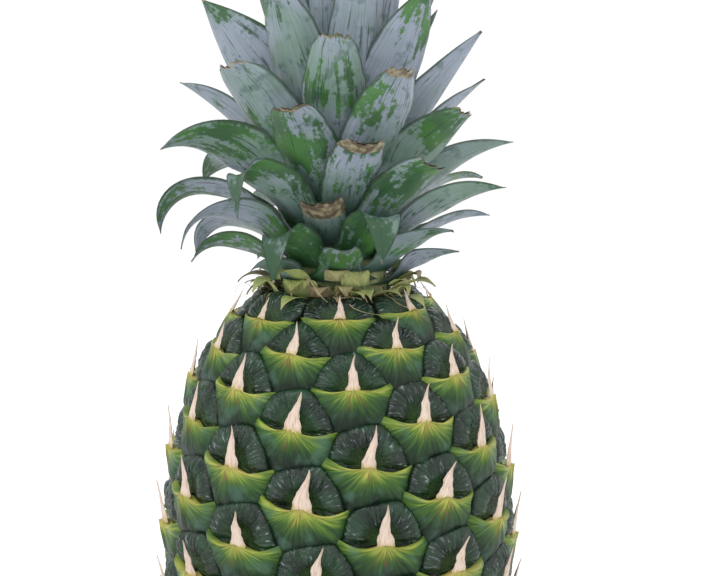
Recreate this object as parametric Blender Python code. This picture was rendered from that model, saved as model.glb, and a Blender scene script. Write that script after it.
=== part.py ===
"""A whole ripe pineapple standing on its trimmed base.

One fruit carries a spiral of eyes, each a low mound with a pointed bract. A short stem stands in a
socket on top of the fruit, and the crown's leaves leave that stem one by one at the golden angle.
A cut piece of stalk sits in a socket in the base. Metres, +Z up, origin at the middle of the base.
Azimuths are in degrees from the front (-Y) towards +X.
"""

import bisect
import math

import bmesh
import bpy
from mathutils import Vector

MM = 0.001
GAP = 0.35 * MM  # clearance that separate pieces keep
GOLDEN_ANGLE = 137.508

# The fruit: a barrel with a domed shoulder and a tighter heel.
FRUIT_HEIGHT = 172 * MM
FRUIT_RADIUS = 63.2 * MM
WAIST_HEIGHT = 75 * MM  # where the barrel is widest
SHOULDER_OVERRUN = 8 * MM  # the dome would close this far above the crown's seat
SHOULDER_POWER = 2.4
HEEL_OVERRUN = 9 * MM  # the heel would close this far below the base
HEEL_POWER = 4.5
BASE_RADIUS = 39 * MM
SEAT_RADIUS = 25 * MM
PROFILE_STEPS = 600

# The eyes, climbing the fruit in one spiral.
EYE_ANGLE = 47.7  # round the fruit, from one eye to the next
EYE_STEP = 1.79 * MM  # along the outline, from one eye to the next
FIRST_EYE = 8 * MM  # along the outline, from the edge of the base
LAST_EYE_MARGIN = 7 * MM
EDGE_MARGIN = 3 * MM  # corners between eyes keep this far from the base and the seat
FRONT_EYE_HEIGHT = 117.5 * MM
FRONT_EYE_AZIMUTH = 10.5
GROOVE_DEPTH = 3.0 * MM
EYE_RINGS = ((0.24, -0.7 * MM), (0.60, 0.0), (0.86, 0.6 * MM))  # (way to the middle, height)
SPINE_REACH = 10.0 * MM  # how far a bract's point lies above its eye's middle
SPINE_STAND_OFF = 3.6 * MM

# The cut stalk under the fruit and the stem that carries the crown.
STALK_RADIUS = 13.5 * MM
STALK_DEPTH = 6 * MM
STEM_RADIUS = 18.0 * MM
STEM_SOCKET_DEPTH = 5 * MM
STEM_HEIGHT = 60 * MM  # above the fruit
STEM_TIP_RADIUS = 1.5 * MM
ROUND_STEPS = 24

# The crown. A leaf's rank runs from 0, the lowest, to 1, the innermost. A leaf's lean is its angle
# from upright in degrees, its arch is the lean gained per mm and its hook the arch gained per mm.
LEAF_COUNT = 56
LEAF_SPACING = 0.98 * MM
FIRST_LEAF_HEIGHT = 1.2 * MM
FRONT_LEAF = 38  # the tall broad leaf that faces the front
FRONT_LEAF_AZIMUTH = -3.0
LONG_RANK = 0.345  # the short leaves of the skirt end here
SKIRT_LENGTHS = (22 * MM, 34 * MM)  # of the lowest leaf, and how much longer the skirt's last is
HEART_LENGTH = 50 * MM  # how much longer again the innermost leaf is
NARROW_HALF_WIDTH = 8 * MM
WIDTH_GAIN = 6.5 * MM
WIDEST_RANK = 0.7
HEART_WIDTH_LOSS = 1.5 * MM
OUTER_LEAN = 68.0
LEAN_LOSS = 71.0
LEAN_POWER = 1.8
FRONT_LIFT = 0.24  # the share of their lean that leaves in front have lost
LEAST_ARCH = 0.12
SIDE_ARCH = 0.28
HOOK = 0.022
HOOK_RANKS = (0.25, 0.68)  # leaves hook fully up to the first and not at all after the second
CLAW = 42.0  # how much further the outer leaves' tips turn down, in degrees
CLAW_RANKS = (0.42, 0.62)
CLAW_START = 0.55  # the share of the leaf's length where the claw begins
LENGTH_CURVE, HEART_CURVE = 0.75, 1.8
WIDEST_AT = 0.35  # the share of a leaf's length at which it is widest and begins to taper
TAPER_POWER = 2.3
FOOT_WIDTH = 0.80  # of its widest, above the part that clasps the stem
CLASP_END = 0.25
CLASP_WIDTH = 0.9  # of the stem's radius
LEAF_TIP_HALF_WIDTH = 0.7 * MM
LONGER_LEAVES = {19: 1.1, 14: 1.12, 6: 1.1, 11: 1.1}  # leaf number: its length's factor
LEAF_THICKNESS = 0.75 * MM
LEAF_WRAP = math.radians(56)  # the most that a leaf wraps round the crown's axis to each side
LEAF_ROWS = 8
LEAF_COLUMNS = 4
BROKEN_LEAVES = {  # leaf number: the share of its length that is left
    17: 0.50,
    20: 0.80,
    25: 0.78,
    28: 0.86,
    30: 0.82,
    33: 0.90,
    35: 0.84,
    38: 0.86,
}
FOLDED_LEAVES = {22: 0.66, 9: 0.55, 12: 0.60}  # leaf number: where its tip folds over
FOLD_ANGLE = 95.0

SKIN = ("fruit_skin", (0.05, 0.13, 0.05), 0.45)
CUT_STALK = ("cut_stalk", (0.42, 0.33, 0.17), 0.85)
CROWN_STEM = ("crown_stem", (0.45, 0.52, 0.25), 0.7)
LEAF = ("leaf", (0.28, 0.38, 0.34), 0.5)


def make_material(name, colour, roughness):
    """A Principled material of one plain colour."""
    material = bpy.data.materials.new(name)
    material.use_nodes = True
    shader = material.node_tree.nodes["Principled BSDF"]
    shader.inputs["Base Color"].default_value = (*colour, 1.0)
    shader.inputs["Roughness"].default_value = roughness
    shader.inputs["Metallic"].default_value = 0.0
    return material


def add_object(name, points, faces, material, parent):
    """One named mesh object, linked to the scene and parented to its group's empty."""
    mesh = bpy.data.meshes.new(name)
    mesh.from_pydata([tuple(p) for p in points], [], faces)
    mesh.materials.append(material)
    obj = bpy.data.objects.new(name, mesh)
    bpy.context.scene.collection.objects.link(obj)
    obj.parent = parent
    return obj


def polar_point(azimuth, radius, height):
    """The point at this azimuth, in radians, distance from the axis and height."""
    return Vector((radius * math.sin(azimuth), -radius * math.cos(azimuth), height))


# ---------------------------------------------------------------- the fruit


def fruit_radius(height):
    """Radius of the fruit over its eyes at a height above the base."""
    if height >= WAIST_HEIGHT:
        share = (height - WAIST_HEIGHT) / (FRUIT_HEIGHT + SHOULDER_OVERRUN - WAIST_HEIGHT)
        return FRUIT_RADIUS * math.sqrt(1 - share**SHOULDER_POWER)
    share = (WAIST_HEIGHT - height) / (WAIST_HEIGHT + HEEL_OVERRUN)
    return FRUIT_RADIUS * math.sqrt(1 - share**HEEL_POWER)


def find_step(values, value):
    """The two neighbouring places in a rising list between which the value lies."""
    high = min(max(bisect.bisect_right(values, value), 1), len(values) - 1)
    return high - 1, high


class Outline:
    """The fruit's side outline, read by the distance along it from the edge of the base."""

    def __init__(self):
        heights = [FRUIT_HEIGHT * i / PROFILE_STEPS for i in range(PROFILE_STEPS + 1)]
        self.points = [(fruit_radius(z), z) for z in heights]
        self.along = [0.0]
        self.chart = [-1.6]  # height on a chart that keeps the skin's angles, as Mercator's does
        for (r0, z0), (r1, z1) in zip(self.points, self.points[1:]):
            run = math.hypot(r1 - r0, z1 - z0)
            self.along.append(self.along[-1] + run)
            self.chart.append(self.chart[-1] + 2 * run / (r0 + r1))
        self.length = self.along[-1]

    def at(self, distance):
        """(radius, height, outward normal) at a distance along the outline."""
        distance = min(max(distance, 0.0), self.length)
        low, high = find_step(self.along, distance)
        share = (distance - self.along[low]) / (self.along[high] - self.along[low])
        (r0, z0), (r1, z1) = self.points[low], self.points[high]
        run = math.hypot(r1 - r0, z1 - z0)
        normal = ((z1 - z0) / run, -(r1 - r0) / run)
        return r0 + (r1 - r0) * share, z0 + (z1 - z0) * share, normal

    def point(self, azimuth, distance, height=0.0):
        """The point at an azimuth and distance along the outline, standing off it by height."""
        radius, z, (out, up) = self.at(distance)
        return polar_point(azimuth, radius + out * height, z + up * height)

    def to_sphere(self, azimuth, distance):
        """The point of a unit sphere that stands for this place, with angles kept."""
        low, high = find_step(self.along, distance)
        share = (distance - self.along[low]) / (self.along[high] - self.along[low])
        latitude = math.atan(math.sinh(self.chart[low] + (self.chart[high] - self.chart[low]) * share))
        return polar_point(azimuth, math.cos(latitude), math.sin(latitude))

    def from_sphere(self, direction):
        """The (azimuth, distance) that a direction from the sphere's middle stands for."""
        chart = math.asinh(direction.z / math.hypot(direction.x, direction.y))
        low, high = find_step(self.chart, chart)
        share = (chart - self.chart[low]) / (self.chart[high] - self.chart[low])
        distance = self.along[low] + (self.along[high] - self.along[low]) * min(max(share, 0.0), 1.0)
        return math.atan2(direction.x, -direction.y), distance


def eye_places(outline):
    """(azimuth in radians, distance along the outline) of every eye, lowest first."""
    count = int((outline.length - FIRST_EYE - LAST_EYE_MARGIN) / EYE_STEP) + 1
    distances = [FIRST_EYE + EYE_STEP * n for n in range(count)]
    front = min(range(count), key=lambda n: abs(outline.at(distances[n])[1] - FRONT_EYE_HEIGHT))
    return [
        (math.radians(FRONT_EYE_AZIMUTH + EYE_ANGLE * (n - front)), distances[n])
        for n in range(count)
    ]


def mean_azimuth(azimuths):
    """The middle of azimuths, in radians, that may lie either side of a full turn."""
    return math.atan2(sum(map(math.sin, azimuths)), sum(map(math.cos, azimuths)))


def turned_near(azimuth, reference):
    """The azimuth moved by whole turns to lie within half a turn of the reference."""
    return reference + math.remainder(azimuth - reference, math.tau)


def eye_cells(outline, eyes):
    """The corners shared between neighbouring eyes, and each eye's loop of corners.

    The eyes' middles, spread over a sphere with their angles kept, are joined into triangles by
    their convex hull. Each triangle's normal gives one corner, a (azimuth, distance, height)
    triple equally far from three eyes, and the corners round an eye bound its cell. Two more
    points close the hull under the base and over the crown's seat.
    """
    hull = bmesh.new()
    for azimuth, distance in eyes:
        hull.verts.new(outline.to_sphere(azimuth, distance))
    hull.verts.new((0, 0, -1))
    hull.verts.new((0, 0, 1))
    bmesh.ops.convex_hull(hull, input=hull.verts)
    bmesh.ops.recalc_face_normals(hull, faces=hull.faces)
    hull.verts.index_update()
    hull.faces.ensure_lookup_table()
    hull.faces.index_update()
    base, seat = len(eyes), len(eyes) + 1
    corners = []
    for face in hull.faces:
        members = [v.index for v in face.verts]
        near = [eyes[i][0] for i in members if i < len(eyes)]
        if base in members:
            corners.append((mean_azimuth(near), 0.0, 0.0))
        elif seat in members:
            corners.append((mean_azimuth(near), outline.length, 0.0))
        else:
            azimuth, distance = outline.from_sphere(face.normal)
            distance = min(max(distance, EDGE_MARGIN), outline.length - EDGE_MARGIN)
            corners.append((azimuth, distance, -GROOVE_DEPTH))
    loops = {}
    for vert in hull.verts:
        axis = vert.normal
        side = axis.orthogonal().normalized()
        up = axis.cross(side)
        loops[vert.index] = [
            f.index
            for f in sorted(
                vert.link_faces,
                key=lambda f: math.atan2(
                    (f.calc_center_median() - vert.co).dot(up),
                    (f.calc_center_median() - vert.co).dot(side),
                ),
            )
        ]
    hull.free()
    return corners, loops, base, seat


def corner_point(outline, corner):
    """Where a corner lies, with those of the base and of the seat on their flat faces."""
    azimuth, distance, height = corner
    if distance == 0.0:
        return polar_point(azimuth, BASE_RADIUS, 0.0)
    if distance == outline.length:
        return polar_point(azimuth, SEAT_RADIUS, FRUIT_HEIGHT)
    return outline.point(azimuth, distance, height)


def make_fruit(material, parent):
    """The fruit: one mound with a pointed bract for each eye, a flat base and a flat seat."""
    outline = Outline()
    eyes = eye_places(outline)
    corners, loops, base, seat = eye_cells(outline, eyes)
    points = [corner_point(outline, c) for c in corners]
    faces = [loops[base], loops[seat]]
    for n, (azimuth, distance) in enumerate(eyes):
        ring = loops[n]
        for share, height in EYE_RINGS:
            inner = []
            for index in loops[n]:
                corner_azimuth, corner_distance, _ = corners[index]
                turned = turned_near(corner_azimuth, azimuth)
                inner.append(len(points))
                points.append(
                    outline.point(
                        turned + (azimuth - turned) * share,
                        corner_distance + (distance - corner_distance) * share,
                        height,
                    )
                )
            for i in range(len(ring)):
                j = (i + 1) % len(ring)
                faces.append([ring[i], ring[j], inner[j], inner[i]])
            ring = inner
        tip = len(points)
        points.append(outline.point(azimuth, distance + SPINE_REACH, SPINE_STAND_OFF))
        for i in range(len(ring)):
            faces.append([ring[i], ring[(i + 1) % len(ring)], tip])
    fruit = add_object("fruit_body", points, faces, material, parent)
    tidy = bmesh.new()
    tidy.from_mesh(fruit.data)
    bmesh.ops.recalc_face_normals(tidy, faces=tidy.faces)
    tidy.to_mesh(fruit.data)
    tidy.free()
    cut_socket(fruit, "stalk_socket", STALK_RADIUS, -STALK_DEPTH, STALK_DEPTH, parent)
    cut_socket(
        fruit,
        "stem_socket",
        STEM_RADIUS,
        FRUIT_HEIGHT - STEM_SOCKET_DEPTH,
        FRUIT_HEIGHT + STEM_SOCKET_DEPTH,
        parent,
    )
    return fruit


def cut_socket(fruit, name, radius, bottom, top, parent):
    """Cuts a round socket for a stem of this radius, with clearance round it and at its end."""
    end = top + GAP if bottom < 0 else top
    start = bottom if bottom < 0 else bottom - GAP
    cutter_mesh = bpy.data.meshes.new(name)
    cutter_bmesh = bmesh.new()
    bmesh.ops.create_cone(
        cutter_bmesh,
        cap_ends=True,
        segments=ROUND_STEPS,
        radius1=radius + GAP,
        radius2=radius + GAP,
        depth=end - start,
    )
    cutter_bmesh.to_mesh(cutter_mesh)
    cutter_bmesh.free()
    cutter = bpy.data.objects.new(name, cutter_mesh)
    bpy.context.scene.collection.objects.link(cutter)
    cutter.parent = parent
    cutter.location.z = (start + end) / 2
    cutter.hide_render = True
    cutter.display_type = "WIRE"
    cut = fruit.modifiers.new(name, "BOOLEAN")
    cut.operation = "DIFFERENCE"
    cut.object = cutter


# ---------------------------------------------------------------- turned pieces


def make_turned(name, profile, material, parent):
    """A solid turned about the Z axis. The profile runs from the axis on top, down its outside."""
    mesh = bpy.data.meshes.new(name)
    edges = [(i, i + 1) for i in range(len(profile) - 1)]
    mesh.from_pydata([(r, 0, z) for r, z in profile], edges, [])
    mesh.materials.append(material)
    obj = bpy.data.objects.new(name, mesh)
    bpy.context.scene.collection.objects.link(obj)
    obj.parent = parent
    turn = obj.modifiers.new("turn", "SCREW")
    turn.steps = turn.render_steps = ROUND_STEPS
    turn.use_merge_vertices = True
    turn.merge_threshold = 0.00001
    return obj


def stem_radius(height):
    """Radius of the crown's stem at a height above the fruit: a long dome."""
    share = min(max(height / STEM_HEIGHT, 0.0), 1.0)
    return STEM_TIP_RADIUS + (STEM_RADIUS - STEM_TIP_RADIUS) * math.sqrt(1 - share**1.7)


def make_stalk(material, parent):
    """The cut stalk, its face flush with the fruit's base."""
    bevel = 0.6 * MM
    profile = [
        (0, STALK_DEPTH),
        (STALK_RADIUS, STALK_DEPTH),
        (STALK_RADIUS, bevel),
        (STALK_RADIUS - bevel, 0),
        (0, 0),
    ]
    return make_turned("stalk_stub", profile, material, parent)


def make_stem(material, parent):
    """The stem inside the crown, from its socket in the fruit to its growing tip."""
    steps = 12
    bottom = FRUIT_HEIGHT - STEM_SOCKET_DEPTH
    tip = FRUIT_HEIGHT + STEM_HEIGHT
    profile = [(0, tip)]
    for i in range(steps + 1):
        height = STEM_HEIGHT * (1 - (i / steps) ** 1.6)
        profile.append((stem_radius(height), FRUIT_HEIGHT + height))
    profile += [(STEM_RADIUS, bottom), (0, bottom)]
    return make_turned("crown_stem", profile, material, parent)


# ---------------------------------------------------------------- the crown's leaves


def side_bend(azimuth):
    """How strongly leaves on this side of the crown arch: 1 on the left, least on the right."""
    return 0.70 + 0.30 * math.cos(azimuth + math.radians(95))


def fade_out(value, start, end):
    """1 below start, 0 above end and a smooth fall between them."""
    share = min(max((value - start) / (end - start), 0.0), 1.0)
    return 1 - share * share * (3 - 2 * share)


class LeafShape:
    """The size and posture of one leaf, worked out from its rank in the crown."""

    def __init__(self, number):
        rank = number / (LEAF_COUNT - 1)
        self.azimuth = math.radians(FRONT_LEAF_AZIMUTH + GOLDEN_ANGLE * (number - FRONT_LEAF))
        self.foot = FIRST_LEAF_HEIGHT + LEAF_SPACING * number
        outer = min(rank / LONG_RANK, 1.0)
        inner = max(rank - LONG_RANK, 0.0) / (1 - LONG_RANK)
        skirt = SKIRT_LENGTHS[0] + SKIRT_LENGTHS[1] * outer**LENGTH_CURVE
        self.length = (skirt + HEART_LENGTH * inner**HEART_CURVE) * LONGER_LEAVES.get(number, 1.0)
        self.kept = BROKEN_LEAVES.get(number, 1.0)
        self.fold_at = FOLDED_LEAVES.get(number)
        widening = min(rank / WIDEST_RANK, 1.0)
        narrowing = max(rank - WIDEST_RANK, 0.0) / (1 - WIDEST_RANK)
        self.half_width = NARROW_HALF_WIDTH + WIDTH_GAIN * widening - HEART_WIDTH_LOSS * narrowing
        front = (1 + math.cos(self.azimuth)) / 2  # 1 for a leaf that faces the front
        self.lean = (OUTER_LEAN - LEAN_LOSS * rank**LEAN_POWER) * (1 - FRONT_LIFT * front)
        bend = side_bend(self.azimuth)
        self.arch = (LEAST_ARCH + SIDE_ARCH * bend) * (1 - rank)
        self.hook = HOOK * bend**2 * fade_out(rank, *HOOK_RANKS)
        self.claw = CLAW * bend * fade_out(rank, *CLAW_RANKS)

    def lean_at(self, along):
        """The blade's lean from upright, in degrees, at a distance along it."""
        run = along / MM
        lean = self.lean + self.arch * run + self.hook * run * run
        lean += self.claw * (1 - fade_out(along / self.length, CLAW_START, 1.0))
        if self.fold_at is not None:
            folded = 1 - fade_out(along / self.length, self.fold_at, self.fold_at + 0.1)
            lean += FOLD_ANGLE * folded
        return min(lean, 178.0)

    def spine(self):
        """(radius, height) points along the leaf's middle, from the stem to its tip."""
        step = self.length * self.kept / LEAF_ROWS
        fine = 6
        radius = stem_radius(self.foot) + 1.5 * GAP + LEAF_THICKNESS / 2
        height = FRUIT_HEIGHT + self.foot
        points = [(radius, height)]
        for i in range(LEAF_ROWS * fine):
            lean = math.radians(self.lean_at((i + 0.5) * step / fine))
            radius += math.sin(lean) * step / fine
            height += math.cos(lean) * step / fine
            if (i + 1) % fine == 0:
                points.append((radius, height))
        return points

    def half_width_at(self, row):
        """Half of the leaf's width at a row: a long blade from a clasping foot."""
        share = self.kept * row / LEAF_ROWS
        swell = math.sin(min(share / WIDEST_AT, 1) * math.pi / 2)
        taper = 1 - max((share - WIDEST_AT) / (1 - WIDEST_AT), 0) ** TAPER_POWER
        widest = self.half_width * (FOOT_WIDTH + (1 - FOOT_WIDTH) * swell)
        blade = max(widest * taper, LEAF_TIP_HALF_WIDTH)
        clasp = CLASP_WIDTH * stem_radius(self.foot) - blade
        return blade + max(clasp, 0) * max(1 - share / CLASP_END, 0) ** 2


def make_leaf(number, material, parent):
    """One leaf: a curved sheet that follows a cup round the crown's axis, given its thickness."""
    shape = LeafShape(number)
    points = []
    for row, (radius, height) in enumerate(shape.spine()):
        half_turn = min(shape.half_width_at(row) / radius, LEAF_WRAP)
        for column in range(LEAF_COLUMNS + 1):
            across = 2 * column / LEAF_COLUMNS - 1
            points.append(polar_point(shape.azimuth + half_turn * across, radius, height))
    width = LEAF_COLUMNS + 1
    faces = []
    for row in range(LEAF_ROWS):
        for column in range(LEAF_COLUMNS):
            corner = row * width + column
            faces.append([corner, corner + 1, corner + width + 1, corner + width])
    leaf = add_object(f"crown_leaf_{number + 1:02d}", points, faces, material, parent)
    thickness = leaf.modifiers.new("thickness", "SOLIDIFY")
    thickness.thickness = LEAF_THICKNESS
    thickness.offset = 0.0
    return leaf


def main():
    """Clears the scene and builds the pineapple."""
    for obj in list(bpy.data.objects):
        bpy.data.objects.remove(obj)
    groups = {}
    for name in ("fruit", "crown"):
        groups[name] = bpy.data.objects.new(name, None)
        bpy.context.scene.collection.objects.link(groups[name])
    make_fruit(make_material(*SKIN), groups["fruit"])
    make_stalk(make_material(*CUT_STALK), groups["fruit"])
    make_stem(make_material(*CROWN_STEM), groups["crown"])
    leaf_material = make_material(*LEAF)
    for number in range(LEAF_COUNT):
        make_leaf(number, leaf_material, groups["crown"])


main()
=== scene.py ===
"""Looks of a whole ripe pineapple: knobbly eyes with papery spines under a grey-green crown.

The rind, the bracts, the crown's leaves and the dry collar are modelled here over the frame's
solids. Lengths are in metres. Azimuths run from the front (-Y) towards +X, and a leaf's lean is
its angle from upright.
"""

import logging
import math
from dataclasses import dataclass, field
from enum import Enum

import bpy
import numpy as np
from mathutils import Matrix, Vector


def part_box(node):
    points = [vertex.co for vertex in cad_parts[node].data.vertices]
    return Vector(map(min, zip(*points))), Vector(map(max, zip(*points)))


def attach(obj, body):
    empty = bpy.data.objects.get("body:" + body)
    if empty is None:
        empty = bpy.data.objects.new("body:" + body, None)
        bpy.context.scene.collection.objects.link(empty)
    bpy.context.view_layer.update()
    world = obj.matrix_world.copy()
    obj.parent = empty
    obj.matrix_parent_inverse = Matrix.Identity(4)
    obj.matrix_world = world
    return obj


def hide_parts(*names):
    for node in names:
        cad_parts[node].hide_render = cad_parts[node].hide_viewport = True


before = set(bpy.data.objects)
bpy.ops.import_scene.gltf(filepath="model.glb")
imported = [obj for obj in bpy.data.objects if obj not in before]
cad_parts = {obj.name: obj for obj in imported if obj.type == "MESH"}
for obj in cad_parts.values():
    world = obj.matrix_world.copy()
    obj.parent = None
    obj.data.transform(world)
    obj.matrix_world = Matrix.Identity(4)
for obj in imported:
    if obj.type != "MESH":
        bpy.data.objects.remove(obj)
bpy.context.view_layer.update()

MM = 0.001
GOLDEN_TURN = math.radians(137.508)
SPINE_ROOT = 2.5 * MM  # how far out from the skin the spines are rooted
LOG = logging.getLogger("pineapple")


# ------------------------------------------------------------------ small tools


def ease(value: np.ndarray | float, start: float, end: float) -> np.ndarray | float:
    """Rises smoothly from 0 at start to 1 at end.

    Args:
        value: Where to read the rise.
        start: The value at which it begins.
        end: The value at which it is complete.

    Returns:
        The share of the rise, from 0 to 1.
    """
    share = np.clip((value - start) / (end - start), 0.0, 1.0)
    return share * share * (3 - 2 * share)


def bump_at(value: np.ndarray | float, middle: float, width: float) -> np.ndarray | float:
    """A bell curve of height 1.

    Args:
        value: Where to read the curve.
        middle: The value at its peak.
        width: How far from the peak it has fallen to about a third.

    Returns:
        The curve's height, from 0 to 1.
    """
    return np.exp(-(((value - middle) / width) ** 2))


def polar(azimuth: np.ndarray, radius: np.ndarray, height: np.ndarray) -> np.ndarray:
    """Points about the upright axis.

    Args:
        azimuth: Angles from the front, in radians.
        radius: Distances from the axis.
        height: Heights above the base.

    Returns:
        An array whose last side holds x, y and z.
    """
    azimuth, radius, height = np.broadcast_arrays(azimuth, radius, height)
    return np.stack([radius * np.sin(azimuth), -radius * np.cos(azimuth), height], axis=-1)


class Noise:
    """Smooth seeded noise between -1 and 1 over three coordinates."""

    SIDE = 24

    def __init__(self, seed: int) -> None:
        """Fills the lattice.

        Args:
            seed: Picks the pattern.
        """
        self.lattice = np.random.default_rng(seed).uniform(-1, 1, (self.SIDE,) * 3)

    def at(self, x: np.ndarray, y: np.ndarray, z: np.ndarray | float) -> np.ndarray:
        """Reads the noise.

        Args:
            x: First coordinate, where 1 is the size of a feature.
            y: Second coordinate.
            z: Third coordinate.

        Returns:
            The noise at each place.
        """
        x, y, z = np.broadcast_arrays(x, y, z)
        cells = [np.floor(v).astype(int) for v in (x, y, z)]
        parts = [ease(v - c, 0.0, 1.0) for v, c in zip((x, y, z), cells)]
        total = np.zeros(x.shape)
        for corner in range(8):
            steps = [(corner >> k) & 1 for k in range(3)]
            weight = np.ones(x.shape)
            for step, part in zip(steps, parts):
                weight = weight * (part if step else 1 - part)
            where = tuple((c + s) % self.SIDE for c, s in zip(cells, steps))
            total += weight * self.lattice[where]
        return total


def grid_faces(rows: int, columns: int, closed: bool = False) -> np.ndarray:
    """Quads over a grid of points that is stored row by row.

    Args:
        rows: Points from the first row to the last.
        columns: Points in each row.
        closed: Whether each row's last point joins its first.

    Returns:
        One row of four point numbers for each quad.
    """
    across = np.arange(columns if closed else columns - 1)
    down = np.arange(rows - 1)[:, None] * columns
    left, right = across, (across + 1) % columns
    quads = np.stack(
        [down + left, down + columns + left, down + columns + right, down + right], axis=-1
    )
    return quads.reshape(-1, 4)


def repeat_faces(faces: np.ndarray, copies: int, points_each: int) -> np.ndarray:
    """The same faces on several sets of points stored one after another.

    Args:
        faces: The faces of the first set.
        copies: How many sets there are.
        points_each: Points in each set.

    Returns:
        The faces of all the sets.
    """
    starts = np.arange(copies)[:, None, None] * points_each
    return (faces[None] + starts).reshape(-1, faces.shape[1])


def add_piece(
    name: str,
    points: np.ndarray,
    faces: np.ndarray,
    values: dict[str, np.ndarray],
    material: bpy.types.Material | None,
) -> bpy.types.Object:
    """Makes a smooth mesh object at the origin.

    Args:
        name: The object's name.
        points: One x, y, z row for each point.
        faces: One row of point numbers for each face.
        values: Named numbers, one for each point, that the material reads.
        material: The finish, or none for a shape that is only copied.

    Returns:
        The object, linked to the scene.
    """
    mesh = bpy.data.meshes.new(name)
    mesh.vertices.add(len(points))
    mesh.vertices.foreach_set("co", np.ascontiguousarray(points, np.float32).ravel())
    mesh.loops.add(faces.size)
    mesh.loops.foreach_set("vertex_index", np.ascontiguousarray(faces, np.int32).ravel())
    mesh.polygons.add(len(faces))
    starts = np.arange(0, faces.size, faces.shape[1], dtype=np.int32)
    mesh.polygons.foreach_set("loop_start", starts)
    mesh.update(calc_edges=True)
    mesh.shade_smooth()
    for key, numbers in values.items():
        layer = mesh.attributes.new(key, "FLOAT", "POINT")
        layer.data.foreach_set("value", np.ascontiguousarray(numbers, np.float32).ravel())
    if material is not None:
        mesh.materials.append(material)
    piece = bpy.data.objects.new(name, mesh)
    bpy.context.scene.collection.objects.link(piece)
    return piece


# ------------------------------------------------------------------ materials


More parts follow.
